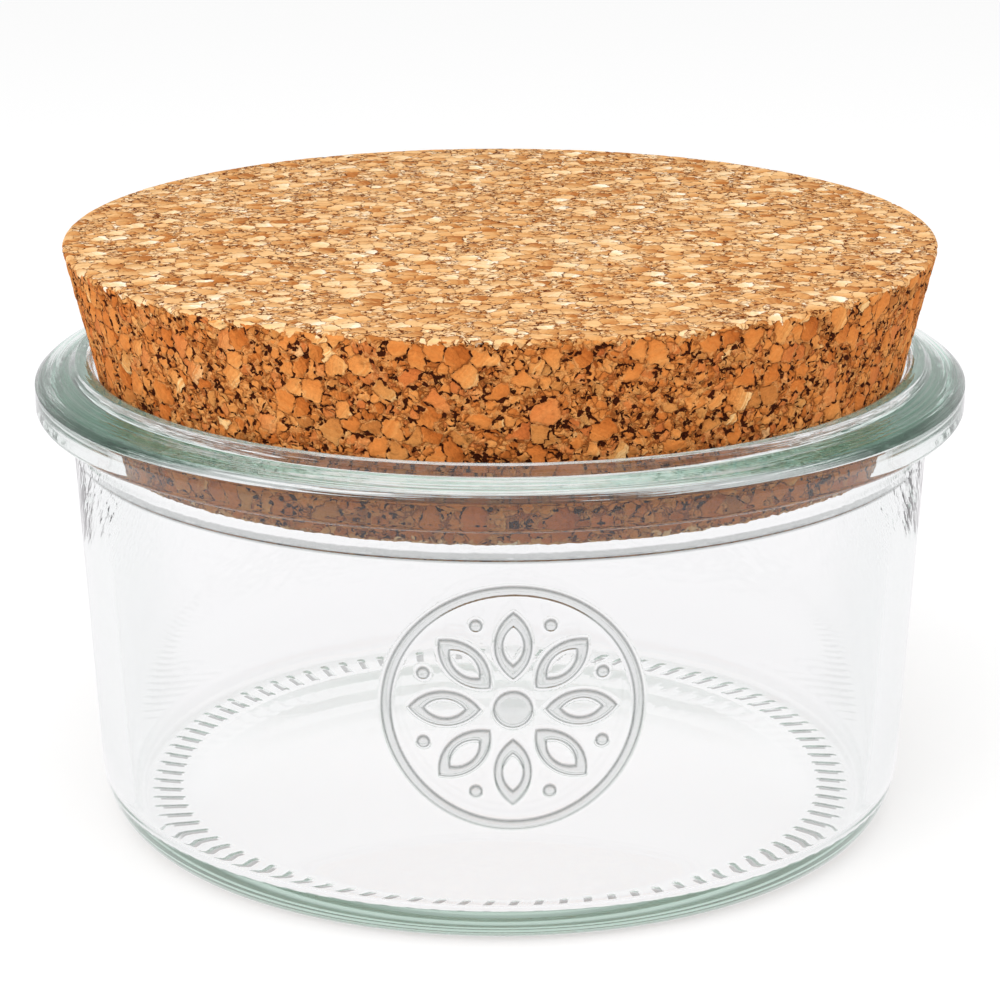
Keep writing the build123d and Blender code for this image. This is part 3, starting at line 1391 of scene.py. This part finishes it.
@dataclass
class Studio:
    """A pale floor under a soft white sky, soft lamps, and the camera."""

    camera_reach: float = 370.6
    camera_height: float = 151.15
    camera_pitch: float = 17.255
    camera_turn: float = 1.6
    lens: float = 117.84
    sensor: float = 36.0
    floor_half: float = 6000.0
    floor_drop: float = 0.12
    floor_colour: Colour = (0.85, 0.85, 0.85, 1.0)
    floor_shown_colour: Colour = (0.55, 0.55, 0.55, 1.0)
    floor_glow: float = 0.52
    floor_seen_colour: Colour = (0.15, 0.15, 0.15, 1.0)
    floor_seen_tint: Colour = (1.0, 0.975, 1.0, 1.0)
    floor_seen_glow: float = 0.85
    # Painted light: seen through the glass, the floor under and near the jar glows brighter, which
    # lifts the jar's own shadow there.
    floor_painted_light_glow: float = 1.0
    floor_painted_light_reach: Span = (35.0, 55.0)
    sky_light: float = 0.72
    sky_seen_low: float = 1.0
    sky_seen_middle: float = 0.65
    sky_seen_top: float = 1.0
    belt_start: Span = (0.30, 0.50)
    belt_end: Span = (0.75, 0.92)
    bounces: int = 32

    def build(self) -> None:
        """Sets up the view transform, the camera, the lamps, the sky and the floor."""
        bpy.context.scene.view_settings.view_transform = "Standard"
        cycles = bpy.context.scene.cycles
        cycles.max_bounces = cycles.glossy_bounces = cycles.transmission_bounces = self.bounces
        self._camera()
        self._lamps()
        self._sky()
        self._floor()

    def _camera(self) -> None:
        """The camera as it was fitted to the picture, turned a little round the jar."""
        data = bpy.data.cameras.new("camera")
        data.sensor_width = self.sensor
        data.lens = self.lens
        camera = new_object("camera", data)
        turn = math.radians(self.camera_turn)
        reach = self.camera_reach * MM
        back, aside = -reach * math.cos(turn), -reach * math.sin(turn)
        camera.location = (aside, back, self.camera_height * MM)
        camera.rotation_euler = (math.radians(90 - self.camera_pitch), 0, -turn)
        bpy.context.scene.camera = camera

    def _lamps(self) -> None:
        """One area lamp for each entry of Lamp."""
        for lamp in Lamp:
            place, aim, width, depth, power = lamp.value
            data = bpy.data.lights.new(lamp.name.lower(), "AREA")
            data.shape = "RECTANGLE"
            data.size, data.size_y, data.energy = width, depth, power
            light = new_object(data.name, data)
            light.location = place
            light.rotation_euler = (Vector(aim) - Vector(place)).to_track_quat("-Z", "Y").to_euler()
            light.visible_glossy = False
            light.visible_transmission = False

    @staticmethod
    def _looks(work: NodeWork) -> tuple[Signal, Signal]:
        """Which rays only show a thing.

        Args:
            work: The tree to build in.

        Returns:
            1 for rays straight from the camera, and 1 for rays that come by gloss or through glass.
        """
        node = work.add("ShaderNodeLightPath")
        rays = ("Is Camera Ray", "Is Glossy Ray", "Is Transmission Ray")
        camera, glossy, through = (Signal(work, node.outputs[name]) for name in rays)
        return camera, glossy.most(through) * (1 - camera)

    def _sky(self) -> None:
        """Soft white all round; in gloss and glass it has a greyer belt below its top."""
        world = bpy.data.worlds.new("sky")
        world.use_nodes = True
        bpy.context.scene.world = world
        work = NodeWork(world.node_tree)
        up = work.signal("ShaderNodeTexCoord", output="Generated").parts()[2]
        fall = self.sky_seen_middle - self.sky_seen_low
        belt = self.sky_seen_low + up.step(*self.belt_start) * fall
        look = belt.toward(self.sky_seen_top, up.step(*self.belt_end))
        camera, in_glass = self._looks(work)
        level = (self.sky_light + in_glass * (look - self.sky_light)).toward(1.0, camera)
        sky = work.signal("ShaderNodeBackground", {}, {"Color": WHITE, "Strength": level})
        work.add("ShaderNodeOutputWorld", sockets={"Surface": sky})

    def _floor(self) -> None:
        """A wide pale floor that glows only for rays that show it, so that it keeps shadows."""
        half, drop = self.floor_half * MM, -self.floor_drop * MM
        corners = [(x * half, y * half, drop) for x, y in ((-1, -1), (1, -1), (1, 1), (-1, 1))]
        mesh = bpy.data.meshes.new("floor")
        mesh.from_pydata(corners, [], [(0, 1, 2, 3)])
        floor = new_object("floor", mesh)
        material, work = new_material("pale_floor")
        camera, in_glass = self._looks(work)
        colour = work.mix(camera, self.floor_colour, self.floor_shown_colour)
        from_axis = work.signal("ShaderNodeTexCoord", output="Object").length()
        # Painted light under and near the jar, for rays through the glass.
        painted_light_share = 1 - from_axis.step(*(reach * MM for reach in self.floor_painted_light_reach))
        seen_glow = self.floor_seen_glow + painted_light_share * (self.floor_painted_light_glow - self.floor_seen_glow)
        surface = {
            "Base Color": work.mix(in_glass, colour, self.floor_seen_colour),
            "Roughness": 1.0,
            "Specular IOR Level": 0.0,
            "Emission Color": work.mix(in_glass, WHITE, self.floor_seen_tint),
            "Emission Strength": camera * self.floor_glow + in_glass * seen_glow,
        }
        work.close_material(surface)
        mesh.materials.append(material)


def main() -> None:
    """Builds the studio, the jar and the cork."""
    logging.basicConfig(level=logging.INFO, format="%(name)s: %(message)s")
    Studio().build()
    jar = GlassJar()
    for piece in (jar.build(), CorkLid(jar).build()):
        mesh = piece.data
        mesh.calc_loop_triangles()
        triangles = len(mesh.loop_triangles)
        log.info("%s: %d points, %d triangles", piece.name, len(mesh.vertices), triangles)


if __name__ == "__main__":
    main()
